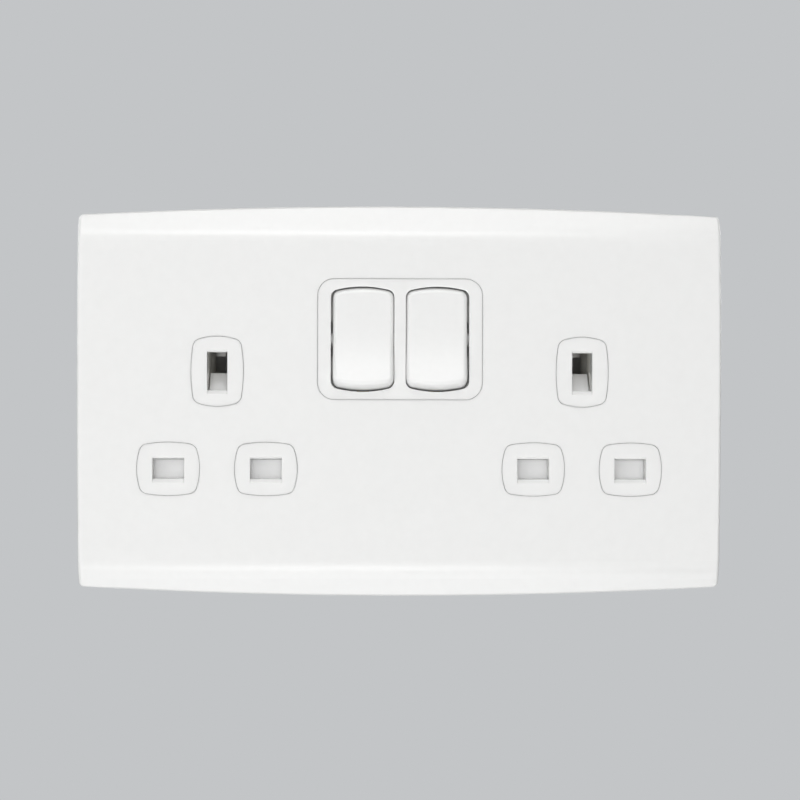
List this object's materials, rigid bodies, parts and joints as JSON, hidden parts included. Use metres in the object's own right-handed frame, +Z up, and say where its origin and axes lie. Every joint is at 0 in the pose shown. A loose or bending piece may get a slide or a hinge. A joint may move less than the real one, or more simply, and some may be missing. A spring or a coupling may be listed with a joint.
{
  "type": "switched twin power socket outlet",
  "caption": "White switched twin socket outlet for a flush wall box: clip-on fascia, rocker switches, shuttered pin slots and rear screw terminals",
  "frame": {"origin": "on the wall plane, midway between the two fixing holes", "axes": "+X to the viewer's right, +Y into the wall, +Z up; the front faces -Y"},
  "size_m": [0.147, 0.0323, 0.0892],
  "materials": {
    "white_urea": "moulded urea-formaldehyde, glossy",
    "white_rocker": "moulded urea-formaldehyde, fine satin",
    "white_housing": "moulded, dull, drawn with the mould's flow",
    "shutter_plastic": "moulded, satin",
    "grey_guide": "moulded, dull",
    "nylon": "moulded nylon, waxy",
    "spring_steel": "drawn spring wire",
    "bronze": "rolled phosphor bronze strip",
    "brass": "rolled and stamped brass strip",
    "tinned_brass": "tinned brass strip, dull grey",
    "terminal_brass": "extruded brass, sawn ends",
    "plated_steel": "zinc-plated steel"
  },
  "bodies": {
    "root": {"front_fascia": "white_urea", "front_carrier": "white_urea", "rear_housing": "white_housing", "live_contact_left": "brass", "live_contact_right": "brass", "shutter_guide_left": "grey_guide", "shutter_guide_right": "grey_guide", "neutral_bar": "brass", "live_bar": "brass", "earth_bar": "tinned_brass", "terminal_neutral": "terminal_brass", "terminal_live": "terminal_brass", "terminal_earth_left": "terminal_brass", "terminal_earth_right": "terminal_brass", "terminal_screws": "plated_steel", "housing_screws": "plated_steel"},
    "rocker_left": {"rocker_left": "white_rocker", "rocker_spring_left": "spring_steel"},
    "plunger_left": {"plunger_left": "nylon"},
    "switch_contact_left": {"switch_contact_left": "bronze"},
    "shutter_left": {"shutter_left": "shutter_plastic", "shutter_spring_left": "spring_steel"},
    "rocker_right": {"rocker_right": "white_rocker", "rocker_spring_right": "spring_steel"},
    "plunger_right": {"plunger_right": "nylon"},
    "switch_contact_right": {"switch_contact_right": "bronze"},
    "shutter_right": {"shutter_right": "shutter_plastic", "shutter_spring_right": "spring_steel"}
  },
  "joints": [
    {"name": "rocker_left_turn", "type": "hinge", "parent": "root", "child": "rocker_left", "pos_m": [-0.00837, -0.0054, 0.0142], "axis": [1, 0, 0], "range_deg": [0, 13]},
    {"name": "plunger_left_slide", "type": "slide", "parent": "rocker_left", "child": "plunger_left", "axis": [0, -0.9936, 0.1132], "range_m": [0, 0.0006], "stiffness_N_per_m": 300, "springref_m": -0.003, "deforming": ["rocker_spring_left"]},
    {"name": "switch_contact_left_rock", "type": "hinge", "parent": "root", "child": "switch_contact_left", "pos_m": [-0.00837, 0.0081, 0.0142], "axis": [1, 0, 0], "range_deg": [-18, 0]},
    {"name": "shutter_left_slide", "type": "slide", "parent": "root", "child": "shutter_left", "axis": [0, 0, -1], "range_m": [0, 0.005], "stiffness_N_per_m": 200, "springref_m": -0.004, "deforming": ["shutter_spring_left"]},
    {"name": "rocker_right_turn", "type": "hinge", "parent": "root", "child": "rocker_right", "pos_m": [0.00837, -0.0054, 0.0142], "axis": [1, 0, 0], "range_deg": [0, 13]},
    {"name": "plunger_right_slide", "type": "slide", "parent": "rocker_right", "child": "plunger_right", "axis": [0, -0.9936, 0.1132], "range_m": [0, 0.0006], "stiffness_N_per_m": 300, "springref_m": -0.003, "deforming": ["rocker_spring_right"]},
    {"name": "switch_contact_right_rock", "type": "hinge", "parent": "root", "child": "switch_contact_right", "pos_m": [0.00837, 0.0081, 0.0142], "axis": [1, 0, 0], "range_deg": [-18, 0]},
    {"name": "shutter_right_slide", "type": "slide", "parent": "root", "child": "shutter_right", "axis": [0, 0, -1], "range_m": [0, 0.005], "stiffness_N_per_m": 200, "springref_m": -0.004, "deforming": ["shutter_spring_right"]}
  ],
  "couplings": [
    {"joint": "switch_contact_left_rock", "follows": "rocker_left_turn", "ratio": -1.3846},
    {"joint": "switch_contact_right_rock", "follows": "rocker_right_turn", "ratio": -1.3846}
  ]
}
